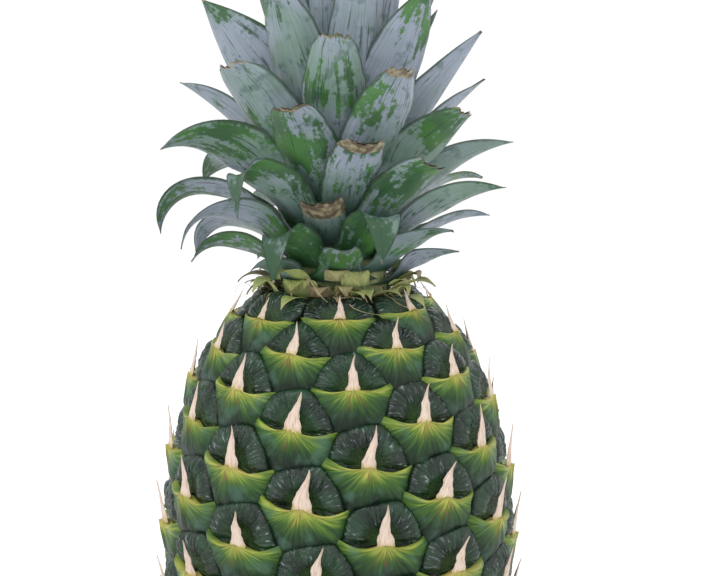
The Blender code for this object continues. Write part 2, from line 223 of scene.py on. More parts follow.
class Finish:
    """Builds the nodes of one Principled material."""

    def __init__(self, name: str, roughness: float) -> None:
        """Starts the material.

        Args:
            name: The material's name.
            roughness: The shader's roughness where nothing is linked to it.
        """
        self.material = bpy.data.materials.new(name)
        self.material.use_nodes = True
        self.tree = self.material.node_tree
        self.shader = self.tree.nodes["Principled BSDF"]
        self.shader.inputs["Roughness"].default_value = roughness

    def put(self, socket: bpy.types.NodeSocket, value: object) -> None:
        """Links a socket, or sets it to a number or a colour.

        Args:
            socket: The input to feed.
            value: Another node's output, a number, or an (r, g, b) colour.
        """
        if isinstance(value, bpy.types.NodeSocket):
            self.tree.links.new(value, socket)
        elif isinstance(value, tuple) and len(socket.default_value) == 4:
            socket.default_value = (*value, 1.0)
        else:
            socket.default_value = value

    def value(self, name: str) -> bpy.types.NodeSocket:
        """Reads a number that the piece's points carry.

        Args:
            name: What the number is called.

        Returns:
            The number.
        """
        node = self.tree.nodes.new("ShaderNodeAttribute")
        node.attribute_name = name
        return node.outputs["Fac"]

    def place(self) -> bpy.types.NodeSocket:
        """The point's own coordinates."""
        return self.tree.nodes.new("ShaderNodeTexCoord").outputs["Object"]

    def math(self, operation: str, a: object, b: object = 0.0) -> bpy.types.NodeSocket:
        """One sum on numbers, kept between 0 and 1 for the operation CLAMP.

        Args:
            operation: A Math node operation.
            a: The first number.
            b: The second number.

        Returns:
            The result.
        """
        node = self.tree.nodes.new("ShaderNodeMath")
        node.operation = "ADD" if operation == "CLAMP" else operation
        node.use_clamp = operation == "CLAMP"
        self.put(node.inputs[0], a)
        self.put(node.inputs[1], b)
        return node.outputs[0]

    def times(self, a: object, b: object) -> bpy.types.NodeSocket:
        """The product of two numbers."""
        return self.math("MULTIPLY", a, b)

    def plus(self, a: object, b: object) -> bpy.types.NodeSocket:
        """The sum of two numbers."""
        return self.math("ADD", a, b)

    def minus(self, a: object, b: object) -> bpy.types.NodeSocket:
        """The difference of two numbers."""
        return self.math("SUBTRACT", a, b)

    def moved(self, number: object, amount: float) -> bpy.types.NodeSocket:
        """How far a number about 0.5 stands from it, times an amount."""
        return self.times(self.minus(number, 0.5), amount)

    def vector(self, x: object, y: object, z: object) -> bpy.types.NodeSocket:
        """Joins three numbers into one vector.

        Args:
            x: The first number.
            y: The second number.
            z: The third number.

        Returns:
            The vector.
        """
        node = self.tree.nodes.new("ShaderNodeCombineXYZ")
        for socket, number in zip(node.inputs, (x, y, z)):
            self.put(socket, number)
        return node.outputs[0]

    def noise(self, where: object, scale: float, detail: float = 4.0) -> bpy.types.NodeSocket:
        """Cloudy noise about 0.5.

        Args:
            where: The coordinates to read it at.
            scale: Features for each unit of the coordinates.
            detail: How many finer layers are added.

        Returns:
            The noise.
        """
        node = self.tree.nodes.new("ShaderNodeTexNoise")
        self.put(node.inputs["Vector"], where)
        node.inputs["Scale"].default_value = scale
        node.inputs["Detail"].default_value = detail
        return node.outputs["Fac"]

    def strands(
        self, x: tuple, y: tuple, each: tuple, detail: float, scale: float = 1.0
    ) -> bpy.types.NodeSocket:
        """Noise drawn out along a piece, different on each of its parts.

        Args:
            x: The number across the strands and how many there are for each unit of it.
            y: The number along the strands and how many features there are for each unit.
            each: The number that differs from part to part and how far it moves the pattern.
            detail: How many finer layers are added.
            scale: Multiplies all three.

        Returns:
            The noise.
        """
        where = self.vector(self.times(*x), self.times(*y), self.times(*each))
        return self.noise(where, scale, detail)

    def step(self, number: object, start: float, end: float) -> bpy.types.NodeSocket:
        """Maps start to 0 and end to 1, smoothly, holding both ends.

        Args:
            number: The number to map.
            start: What becomes 0.
            end: What becomes 1.

        Returns:
            The mapped number.
        """
        node = self.tree.nodes.new("ShaderNodeMapRange")
        node.interpolation_type = "SMOOTHSTEP"
        self.put(node.inputs["Value"], number)
        node.inputs["From Min"].default_value = start
        node.inputs["From Max"].default_value = end
        return node.outputs["Result"]

    def mix(self, share: object, below: object, above: object) -> bpy.types.NodeSocket:
        """Mixes two colours.

        Args:
            share: 0 for the first, 1 for the second.
            below: The first colour.
            above: The second colour.

        Returns:
            The mixed colour.
        """
        node = self.tree.nodes.new("ShaderNodeMix")
        node.data_type = "RGBA"
        self.put(node.inputs["Factor"], share)
        self.put(node.inputs[6], below)
        self.put(node.inputs[7], above)
        return node.outputs[2]

    def ramp(self, number: object, stops: list[tuple[float, tuple]]) -> bpy.types.NodeSocket:
        """Colours along a scale from 0 to 1.

        Args:
            number: Where on the scale to read.
            stops: Each stop's place and (r, g, b) colour.

        Returns:
            The colour.
        """
        node = self.tree.nodes.new("ShaderNodeValToRGB")
        elements = node.color_ramp.elements
        while len(elements) < len(stops):
            elements.new(0.5)
        for element, (place, colour) in zip(elements, stops):
            element.position = place
            element.color = (*colour, 1.0)
        self.put(node.inputs["Fac"], number)
        return node.outputs["Color"]

    def finish(self, colour: object, roughness: object, height: object, depth: float) -> None:
        """Joins the surface's colour, roughness and relief to the shader.

        Args:
            colour: The base colour.
            roughness: A number, or what drives it.
            height: The relief, from 0 to 1.
            depth: How deep the relief is, in metres.
        """
        self.put(self.shader.inputs["Base Color"], colour)
        self.put(self.shader.inputs["Roughness"], roughness)
        relief = self.tree.nodes.new("ShaderNodeBump")
        relief.inputs["Distance"].default_value = depth
        self.put(relief.inputs["Height"], height)
        self.tree.links.new(relief.outputs["Normal"], self.shader.inputs["Normal"])


@dataclass(frozen=True)
class KnobFinish:
    """Waxy near-black green calyx, with lilac-grey weathering and painted highlights on its crests,
    and painted shade at its edge.
    """

    deep: tuple = (0.004, 0.014, 0.008)
    fresh: tuple = (0.014, 0.050, 0.022)
    hollow: tuple = (0.035, 0.082, 0.020)
    weathered: tuple = (0.20, 0.185, 0.225)
    # Painted highlight: pale bluish glints laid on the wrinkle crests.
    painted_glint: tuple = (0.30, 0.37, 0.37)
    # Painted shade: near-black where the calyx's edge goes down into the groove.
    crease_shade: tuple = (0.003, 0.008, 0.004)

    def material(self) -> bpy.types.Material:
        """Builds the material.

        Returns:
            The material.
        """
        m = Finish("calyx_skin", 0.3)
        place = m.place()
        cloud = m.noise(place, 110, 5)
        grain = m.noise(place, 900, 3)
        colour = m.mix(m.step(cloud, 0.35, 0.7), self.deep, self.fresh)
        reach, crest, tone = m.value("reach"), m.value("crest"), m.value("tone")
        wrinkle = m.strands((m.value("bearing"), 46.0), (reach, 5.0), (tone, 40.0), 4)
        colour = m.mix(m.step(reach, 0.55, 0.15), colour, self.hollow)
        age = m.times(m.step(crest, 0.5, 1.0), m.step(wrinkle, 0.50, 0.66))
        age = m.times(age, m.step(tone, 0.35, 1.0))
        colour = m.mix(m.times(age, 0.8), colour, self.weathered)
        # Painted highlight: glints on the crests of the wrinkles, in patches.
        painted_glint = m.times(m.step(wrinkle, 0.56, 0.70), m.step(crest, 0.35, 0.9))
        painted_glint = m.times(painted_glint, m.step(m.noise(place, 190, 2), 0.44, 0.62))
        colour = m.mix(m.times(painted_glint, 0.9), colour, self.painted_glint)
        # Painted shade in the crease at the calyx's edge.
        colour = m.mix(m.step(reach, 0.90, 1.0), colour, self.crease_shade)
        roughness = m.plus(m.times(grain, 0.20), m.times(age, 0.2))
        relief = m.plus(wrinkle, m.times(grain, 0.2))
        m.finish(colour, m.plus(roughness, 0.16), relief, 0.8 * MM)
        m.shader.inputs["Specular IOR Level"].default_value = 0.4
        return m.material


@dataclass(frozen=True)
class BractFinish:
    """Fibrous bract: yellow at the spine to dark green, painted crease shade at its foot, grey
    patches of bloom and painted sheen.
    """

    stops: tuple = (
        (0.02, (0.50, 0.42, 0.12)),
        (0.17, (0.36, 0.38, 0.07)),
        (0.33, (0.15, 0.23, 0.028)),
        (0.48, (0.040, 0.105, 0.012)),
        (0.68, (0.010, 0.042, 0.008)),
        # The near-black end of the scale is painted shade in the crease at the bract's lower end.
        (0.95, (0.002, 0.010, 0.004)),
    )
    streak: tuple = (0.24, 0.085, 0.035)
    # Grey-green patches: partly the bract's wax bloom, partly a painted sheen.
    bloom: tuple = (0.075, 0.16, 0.12)

    def material(self) -> bpy.types.Material:
        """Builds the material.

        Returns:
            The material.
        """
        m = Finish("bract_skin", 0.45)
        reach, bearing, tone = m.value("reach"), m.value("bearing"), m.value("tone")
        fibre = m.strands((bearing, 34.0), (reach, 2.2), (tone, 40.0), 5)
        cloud = m.noise(m.place(), 160, 3)
        moved = m.plus(m.moved(fibre, 0.75), m.moved(tone, -0.14))
        sink = m.times(m.value("sink"), 0.70)
        scale = m.plus(m.plus(m.times(reach, 0.46), sink), moved)
        # The scale's far end gives the painted crease shade at the bract's foot.
        colour = m.ramp(m.math("CLAMP", scale, 0.0), list(self.stops))
        aside = m.math("ABSOLUTE", m.minus(bearing, 0.5))
        low = m.minus(1.0, m.step(aside, 0.1, 0.3))
        near = m.times(m.step(reach, 0.10, 0.2), m.step(reach, 0.62, 0.3))
        rust = m.times(m.times(low, near), m.step(fibre, 0.50, 0.66))
        colour = m.mix(m.times(rust, 0.85), colour, self.streak)
        # Grey-green patches on the lower bract, partly wax bloom and partly painted sheen.
        grey = m.times(m.step(cloud, 0.48, 0.72), m.step(reach, 0.35, 0.7))
        grey = m.times(grey, m.step(reach, 1.0, 0.8))
        colour = m.mix(m.times(grey, 0.45), colour, self.bloom)
        m.finish(colour, m.plus(m.times(cloud, 0.3), 0.3), fibre, 0.7 * MM)
        m.shader.inputs["Specular IOR Level"].default_value = 0.3
        return m.material


@dataclass(frozen=True)
class PaperFinish:
    """Dry papery tissue: the spines and, in other colours, the collar's bracts and fibres."""

    name: str = "dry_spine"
    base: tuple = (0.50, 0.40, 0.16)
    middle: tuple = (0.66, 0.53, 0.44)
    tip: tuple = (0.60, 0.46, 0.34)
    vein: tuple = (0.33, 0.20, 0.14)
    pale: tuple = (0.80, 0.69, 0.59)
    aged: tuple | None = None

    def material(self) -> bpy.types.Material:
        """Builds the material.

        Returns:
            The material.
        """
        m = Finish(self.name, 0.75)
        along, across, tone = m.value("along"), m.value("across"), m.value("tone")
        grain = m.strands((across, 3.5), (along, 2.5), (tone, 60.0), 5, 1.6)
        stops = [(0.0, self.base), (0.16, self.middle), (0.7, self.middle), (1.0, self.tip)]
        colour = m.ramp(along, stops)
        if self.aged is not None:
            colour = m.mix(m.step(tone, 0.55, 0.9), colour, self.aged)
        colour = m.mix(m.times(m.step(grain, 0.48, 0.72), 0.65), colour, self.vein)
        pale = m.times(m.step(grain, 0.46, 0.3), 0.5)
        colour = m.mix(pale, colour, self.pale)
        m.finish(colour, 0.72, grain, 0.3 * MM)
        return m.material


COLLAR_BRACT = PaperFinish(
    name="collar_bract",
    base=(0.10, 0.19, 0.05),
    middle=(0.36, 0.42, 0.14),
    tip=(0.40, 0.38, 0.16),
    vein=(0.12, 0.17, 0.05),
    pale=(0.50, 0.52, 0.28),
    aged=(0.26, 0.20, 0.11),
)
DRY_FIBRE = PaperFinish(
    name="dry_fibre",
    base=(0.30, 0.22, 0.10),
    middle=(0.50, 0.40, 0.22),
    tip=(0.55, 0.45, 0.28),
    vein=(0.22, 0.14, 0.07),
)


@dataclass(frozen=True)
class LeafFinish:
    """Leaf skin: lavender-grey bloom rubbed through to green, darker inside, tan where dry."""

    lavender: tuple = (0.285, 0.325, 0.405)
    sage: tuple = (0.175, 0.270, 0.220)
    foot: tuple = (0.060, 0.125, 0.105)
    rubbed: tuple = (0.022, 0.090, 0.020)
    bright: tuple = (0.045, 0.165, 0.018)
    scratch: tuple = (0.025, 0.065, 0.045)
    inside: tuple = (0.030, 0.085, 0.040)
    inside_bloom: tuple = (0.155, 0.225, 0.215)
    margin: tuple = (0.020, 0.050, 0.022)
    straw: tuple = (0.34, 0.30, 0.19)
    brown: tuple = (0.115, 0.090, 0.060)

    def material(self) -> bpy.types.Material:
        """Builds the material.

        Returns:
            The material.
        """
        m = Finish("leaf_skin", 0.45)
        place = m.place()
        along, across, tone = m.value("along"), m.value("across"), m.value("tone")
        lines = m.strands((across, 22.0), (along, 1.6), (tone, 30.0), 3)
        cloud = m.noise(place, 42, 6)
        speck = m.noise(place, 620, 2)
        bloom = m.mix(m.step(m.noise(place, 26, 5), 0.44, 0.66), self.lavender, self.sage)
        outside = m.mix(m.step(along, 0.42, 0.02), bloom, self.foot)
        fine = m.noise(place, 190, 6)
        outside = m.mix(m.times(m.step(fine, 0.54, 0.66), 0.55), outside, self.foot)
        outside = m.mix(m.times(m.step(lines, 0.42, 0.7), 0.28), outside, self.foot)
        worn = m.plus(cloud, m.moved(speck, 0.30))
        worn = m.plus(worn, m.moved(m.value("rub"), 0.36))
        scrape = m.strands((across, 5.0), (along, 5.0), (tone, 50.0), 4)
        worn = m.plus(worn, m.moved(scrape, 0.55))
        worn = m.step(worn, 0.53, 0.62)
        green = m.mix(m.step(m.noise(place, 60, 4), 0.42, 0.62), self.rubbed, self.bright)
        outside = m.mix(m.times(worn, 0.90), outside, green)
        nick = m.strands((across, 13.0), (along, 4.5), (tone, 70.0), 6)
        outside = m.mix(m.times(m.step(nick, 0.60, 0.66), 0.75), outside, self.scratch)
        frost = m.plus(m.noise(place, 75, 5), m.moved(speck, 0.45))
        frost = m.times(m.step(frost, 0.46, 0.62), 0.85)
        inside = m.mix(frost, self.inside, self.inside_bloom)
        colour = m.mix(m.value("outer"), inside, outside)
        edge = m.step(m.math("ABSOLUTE", across), 0.90, 0.97)
        colour = m.mix(m.times(edge, 0.8), colour, self.margin)
        tan = m.mix(m.step(m.noise(place, 320, 5), 0.36, 0.58), self.straw, self.brown)
        dry = m.plus(m.value("dry"), m.moved(cloud, 0.5))
        colour = m.mix(m.step(dry, 0.45, 0.62), colour, tan)
        relief = m.plus(m.plus(lines, m.times(speck, 0.25)), fine)
        m.finish(colour, m.plus(m.times(cloud, 0.3), 0.28), relief, 0.35 * MM)
        m.shader.inputs["Specular IOR Level"].default_value = 0.4
        return m.material


@dataclass(frozen=True)
class PlainFinish:
    """Fine-grained plant tissue of two tones, for cut faces and the parts between leaves."""

    name: str
    light: tuple
    dark: tuple
    scale: float = 240.0
    roughness: float = 0.8

    def material(self) -> bpy.types.Material:
        """Builds the material.

        Returns:
            The material.
        """
        m = Finish(self.name, self.roughness)
        grain = m.noise(m.place(), self.scale, 6)
        colour = m.mix(m.step(grain, 0.35, 0.68), self.light, self.dark)
        m.finish(colour, self.roughness, grain, 0.5 * MM)
        return m.material


# ------------------------------------------------------------------ the fruit's outline and eyes


@dataclass
class Outline:
    """The fruit's side outline and an angle-keeping chart of its skin."""

    height: float
    radius: float = 63.2 * MM
    waist: float = 75 * MM
    shoulder_overrun: float = 8 * MM
    shoulder_power: float = 2.4
    heel_overrun: float = 9 * MM
    heel_power: float = 4.5
    steps: int = 1200
    radii: np.ndarray = field(init=False)
    heights: np.ndarray = field(init=False)
    along: np.ndarray = field(init=False)
    chart: np.ndarray = field(init=False)
    out: np.ndarray = field(init=False)
    up: np.ndarray = field(init=False)

    def __post_init__(self) -> None:
        """Works out the outline's points, their distances and their outward directions."""
        z = np.linspace(0.0, self.height, self.steps)
        top = self.height + self.shoulder_overrun
        above = np.clip(z - self.waist, 0, None) / (top - self.waist)
        below = np.clip(self.waist - z, 0, None) / (self.waist + self.heel_overrun)
        round_off = np.where(z >= self.waist, above**self.shoulder_power, below**self.heel_power)
        r = self.radius * np.sqrt(1 - round_off)
        run = np.hypot(np.diff(r), np.diff(z))
        self.radii, self.heights = r, z
        self.along = np.concatenate([[0.0], np.cumsum(run)])
        self.chart = np.concatenate([[0.0], np.cumsum(2 * run / (r[1:] + r[:-1]))])
        self.out = np.gradient(z, self.along)
        self.up = -np.gradient(r, self.along)

    def place(self, azimuth: np.ndarray, chart: np.ndarray, height: np.ndarray) -> np.ndarray:
        """Points that stand off the skin.

        Args:
            azimuth: Angles from the front, in radians.
            chart: Heights on the chart.
            height: Distances out from the skin.

        Returns:
            The points, none of them below the base.
        """
        radius = np.interp(chart, self.chart, self.radii)
        z = np.interp(chart, self.chart, self.heights)
        out = np.interp(chart, self.chart, self.out)
        up = np.interp(chart, self.chart, self.up)
        return polar(azimuth, radius + out * height, np.maximum(z + up * height, 0.0))


@dataclass
class EyeField:
    """The eyes, which climb the fruit in one spiral, and the cell round each."""

    outline: Outline
    turn: float = math.radians(47.7)
    step: float = 1.79 * MM
    first: float = 8 * MM
    last_margin: float = 7 * MM
    front_height: float = 117.5 * MM
    front_azimuth: float = math.radians(10.5)
    seed: int = 11
    azimuth: np.ndarray = field(init=False)
    chart: np.ndarray = field(init=False)
    scale: np.ndarray = field(init=False)
    tilt: np.ndarray = field(init=False)
    tone: np.ndarray = field(init=False)

    def __post_init__(self) -> None:
        """Places the eyes and gives each its own tilt and tone."""
        line = self.outline
        count = int((line.along[-1] - self.first - self.last_margin) / self.step) + 1
        along = self.first + self.step * np.arange(count)
        heights = np.interp(along, line.along, line.heights)
        front = int(np.argmin(np.abs(heights - self.front_height)))
        self.azimuth = self.front_azimuth + self.turn * (np.arange(count) - front)
        self.chart = np.interp(along, line.along, line.chart)
        self.scale = np.interp(along, line.along, line.radii)
        chance = np.random.default_rng(self.seed)
        self.tilt = chance.uniform(-5, 5, count) - 3.0
        self.tone = chance.uniform(0, 1, count)

    def reach(self, angles: np.ndarray) -> np.ndarray:
        """How far each eye's cell extends in given directions.

        Args:
            angles: One row of directions for each eye, in radians from the right.

        Returns:
            Distances on the chart, one for each direction.
        """
        turn = self.azimuth[None, :] - self.azimuth[:, None]
        turn = (turn + math.pi) % math.tau - math.pi
        rise = self.chart[None, :] - self.chart[:, None]
        square = turn**2 + rise**2
        result = np.full(angles.shape, 9.0)
        for other in range(len(self.azimuth)):
            toward = (
                turn[:, other, None] * np.cos(angles) + rise[:, other, None] * np.sin(angles)
            )
            away = toward > 1e-6
            limit = square[:, other, None] / (2 * np.where(away, toward, 1.0))
            result = np.where(away, np.minimum(result, limit), result)
        up, low = np.sin(angles), self.chart[:, None]
        top = (self.outline.chart[-1] - low) / np.where(up > 1e-3, up, 1.0)
        base = low / np.where(up < -1e-3, -up, 1.0)
        result = np.where(up > 1e-3, np.minimum(result, top), result)
        return np.where(up < -1e-3, np.minimum(result, base), result)


@dataclass
class Rind:
    """The fruit's skin: a crinkled calyx and a bract plate on every eye."""

    eyes: EyeField
    dome_columns: int = 84
    dome_rows: int = 20
    plate_columns: int = 40
    plate_rows: int = 17
    edge_drop: float = 1.9 * MM  # how far a calyx's edge goes down into the groove
    hollow: float = 0.8 * MM  # how deep the calyx sinks behind the spine
    rim_height: float = 3.0 * MM
    ridge_depth: float = 0.9 * MM
    seam_depth: float = 0.9 * MM  # of the two lines between a calyx's three lobes
    lobe_height: float = 1.1 * MM
    wing_bed: float = 2.6 * MM  # how far the calyx drops to let the wings lie over it
    plate_height: float = 2.5 * MM
    keel_height: float = 0.9 * MM
    wing_lift: float = 0.7 * MM
    plate_ripple: float = 0.45 * MM
    plate_slope: float = 1.3 * MM
    lip: float = 1.3 * MM  # how thick the bract's free edge looks
    plate_overlap: float = 0.17  # the share by which a bract passes its cell's edge
    wing_overlap: float = 0.06  # the same at its wings
    corner_rounding: float = 14.0  # a higher power rounds less
    groove_depth: float = 2.2 * MM
    gap: float = 0.35 * MM  # round the stalk's end and the crown's stem
    dome_spill: float = 0.09  # the share by which a calyx's top passes its cell's edge
    wing_rise: float = 6.0  # degrees above level at which a bract's wings end
    under_wing: float = 14.0  # degrees below level at which the calyx ends, under the wings
    wing_sag: float = 2.3 * MM  # how far a wing's upper edge hangs between its ends

    def rounded(self, angles: np.ndarray) -> np.ndarray:
        """The reach of the calyx, which is its cell with the corners rounded off.

        Args:
            angles: One row of directions for each eye, in radians.

        Returns:
            Distances on the chart, one for each direction.
        """
        reach, power = self.eyes.reach(angles), self.corner_rounding
        above = np.sin(angles) > 0.15
        mean = (reach * above).sum(axis=1) / above.sum(axis=1)
        return (reach**-power + (1.04 * mean[:, None]) ** -power) ** (-1 / power)

    def spread(
        self, angles: np.ndarray, reach: np.ndarray, rise: np.ndarray, sag: np.ndarray
    ) -> np.ndarray:
        """Lays one patch over every eye.

        Args:
            angles: Directions, one row for each eye, in radians.
            reach: Distance from the eye on the chart, for each eye, ring and direction.
            rise: Distance out from the skin, for each eye, ring and direction.
            sag: How far points drop along the skin, for each eye, ring and direction.

        Returns:
            The points of every eye, ring and direction.
        """
        eyes = self.eyes
        azimuth = eyes.azimuth[:, None, None] + reach * np.cos(angles)[:, None, :]
        chart = eyes.chart[:, None, None] + reach * np.sin(angles)[:, None, :]
        return eyes.outline.place(azimuth, chart - sag / eyes.scale[:, None, None], rise)

    def calyxes(self, material: bpy.types.Material) -> list[bpy.types.Object]:
        """Makes the crinkled domes above the bracts, as a lower and an upper piece.

        Args:
            material: Their finish.

        Returns:
            The two pieces.
        """
        eyes, count = self.eyes, len(self.eyes.azimuth)
        tilt = np.radians(eyes.tilt)[:, None]
        low, high = math.radians(-self.under_wing), math.pi + math.radians(self.under_wing)
        turn = np.linspace(low, high, self.dome_columns)[None, :] + 0 * tilt
        share = np.linspace(0, 1, self.dome_rows) ** 0.85 * 0.96 + 0.04
        chance = np.random.default_rng(eyes.seed + 1)
        ridges = chance.integers(13, 19, count)[:, None, None]
        plump = chance.uniform(0.8, 1.15, count)[:, None, None]
        phase = chance.uniform(0, 9, count)[:, None, None]
        noise = Noise(5)
        b = share[None, :, None]
        t = turn[:, None, :]
        wander = noise.at(3.2 * np.cos(t) + phase, 3.2 * np.sin(t), 3.0 * b + phase)
        count_at = ridges * t / math.pi + 0.55 * wander + phase
        valley = np.abs(np.sin(math.pi * count_at)) ** 0.5
        split = np.abs(np.sin(math.pi * (3.1 * b + 1.7 * np.sin(5.1 * np.floor(count_at))))) ** 0.45
        crest = valley * (0.45 + 0.55 * split)
        rim = ease(b, 0.34, 0.56) * (1 - ease(b, 0.93, 1.0))
        lump = noise.at(2.1 * np.cos(t) * b + phase, 2.1 * np.sin(t) * b, phase)
        sepal = bump_at(t, math.radians(58), 0.09) + bump_at(t, math.radians(124), 0.09)
        size = (eyes.scale / eyes.outline.radius)[:, None, None]
        rise = self.rim_height * plump * ease(b, 0.22, 0.62) - self.hollow
        rise = rise + self.lobe_height * lump + self.ridge_depth * rim * (crest - 0.6)
        rise = rise - self.seam_depth * sepal * ease(b, 0.3, 0.6)
        rise = rise - self.wing_bed * ease(np.sin(t), 0.26, -0.05) * ease(b, 0.2, 0.5)
        edge = np.sqrt(1 - np.clip((b - 0.62) / 0.38, 0, 1) ** 3.2)
        rise = (rise * edge - self.edge_drop * (1 - edge)) * size
        spill = 1 + self.dome_spill * ease(np.sin(t), 0.15, 0.6)
        reach = self.rounded(turn + tilt)[:, None, :] * b * spill
        points = self.spread(turn + tilt, reach, rise, np.zeros_like(rise))
        full = np.zeros(rise.shape)
        values = {
            "reach": full + b,
            "bearing": full + t / math.pi,
            "crest": crest * rim,
            "tone": full + eyes.tone[:, None, None],
        }
        pieces, half = [], count // 2
        one, points_each = grid_faces(self.dome_rows, self.dome_columns), b.size * t.shape[-1]
        for where, first, last in (("lower", 0, half), ("upper", half, count)):
            name = f"eye_calyxes_{where}"
            faces = repeat_faces(one, last - first, points_each)
            chosen = {key: numbers[first:last] for key, numbers in values.items()}
            patch = points[first:last].reshape(-1, 3)
            pieces.append(add_piece(name, patch, faces, chosen, material))
        return pieces

    def plates(self, material: bpy.types.Material) -> bpy.types.Object:
        """Makes the fibrous bract below each calyx, with a free upper edge from wing to wing.

        Args:
            material: Their finish.

        Returns:
            All the bracts in one piece.
        """
        eyes, count = self.eyes, len(self.eyes.azimuth)
        tilt = np.radians(eyes.tilt)[:, None]
        rise_angle = math.radians(self.wing_rise)
        swing = np.linspace(math.pi - rise_angle, math.tau + rise_angle, self.plate_columns)
        swing = np.concatenate([swing[:1], swing, swing[-1:]])
        tuck = np.zeros(len(swing))
        tuck[0] = tuck[-1] = 1.0
        turn = swing[None, :] + 0 * tilt
        share = np.linspace(0, 1, self.plate_rows) ** 0.9 * 0.97 + 0.03
        b, t = share[None, :, None], turn[:, None, :]
        tucked = tuck[None, None, :]
        size = (eyes.scale / eyes.outline.radius)[:, None, None]
        phase = (eyes.tone * 7)[:, None, None]
        noise = Noise(9)
        wing = bump_at(t, math.pi - rise_angle, 0.30) + bump_at(t, math.tau + rise_angle, 0.30)
        keel = bump_at(t, 1.5 * math.pi, 0.20) + 0.5 * bump_at(t, 1.5 * math.pi, 0.7)
        fold = noise.at(5.0 * np.cos(t) + phase, 5.0 * np.sin(t), 1.5 * b + phase)
        rise = self.plate_height * (1 - b) ** 0.9 + self.keel_height * (1 - ease(b, 0.7, 1.0))
        rise = rise + self.keel_height * keel * (1 - b) + self.wing_lift * wing * ease(b, 0.05, 0.4)
        rise = rise + self.plate_ripple * fold * ease(b, 0.1, 0.4)
        rise = rise - self.plate_slope * ease(b, 0.75, 1.0)
        rise = (rise * (1 - tucked) - self.lip * tucked) * size
        sag = self.wing_sag * wing * np.sin(math.pi * np.minimum(b / 0.92, 1.0)) + 0.3 * MM * tucked
        end = bump_at(t, math.pi - rise_angle, 0.35) + bump_at(t, math.tau + rise_angle, 0.35)
        over = self.plate_overlap + (self.wing_overlap - self.plate_overlap) * end
        reach = eyes.reach(turn + tilt)[:, None, :] * b * (1 + over * ease(b, 0.3, 1.0))
        points = self.spread(turn + tilt, reach, rise, sag * size)
        full = np.zeros(rise.shape)
        values = {
            "reach": full + b,
            "bearing": full + (t - math.pi) / math.pi,
            "sink": full - b * np.sin(t),
            "tone": full + eyes.tone[:, None, None],
        }
        faces = repeat_faces(
            grid_faces(self.plate_rows, len(swing)), count, self.plate_rows * len(swing)
        )
        return add_piece("bract_plates", points.reshape(-1, 3), faces, values, material)

    def core(self, material: bpy.types.Material) -> bpy.types.Object:
        """Makes the skin in the grooves, near-black as painted shade, with the trimmed base and the
        crown's seat.

        Args:
            material: Its finish.

        Returns:
            The piece.
        """
        line, rows, columns = self.eyes.outline, 60, 96
        turn = np.linspace(0, math.tau, columns, endpoint=False)[None, :]
        chart = np.linspace(0, line.chart[-1], rows)[:, None]
        inset = np.full((rows, columns), -self.groove_depth)
        skin = line.place(turn + 0 * chart, chart + 0 * turn, inset)
        skin[0, :, 2] = 0.0
        base_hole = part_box("stalk_stub")[1][0] + self.gap
        base = polar(turn, np.full((1, columns), base_hole), np.zeros((1, columns)))
        seat_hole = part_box("crown_stem")[1][0] + self.gap
        seat = polar(turn, np.full((1, columns), seat_hole), np.full((1, columns), line.height))
        points = np.concatenate([base, skin, seat])
        faces = grid_faces(len(points), columns, closed=True)[:, ::-1]
        return add_piece("rind_core", points.reshape(-1, 3), faces, {}, material)


# ------------------------------------------------------------------ repeated small shapes


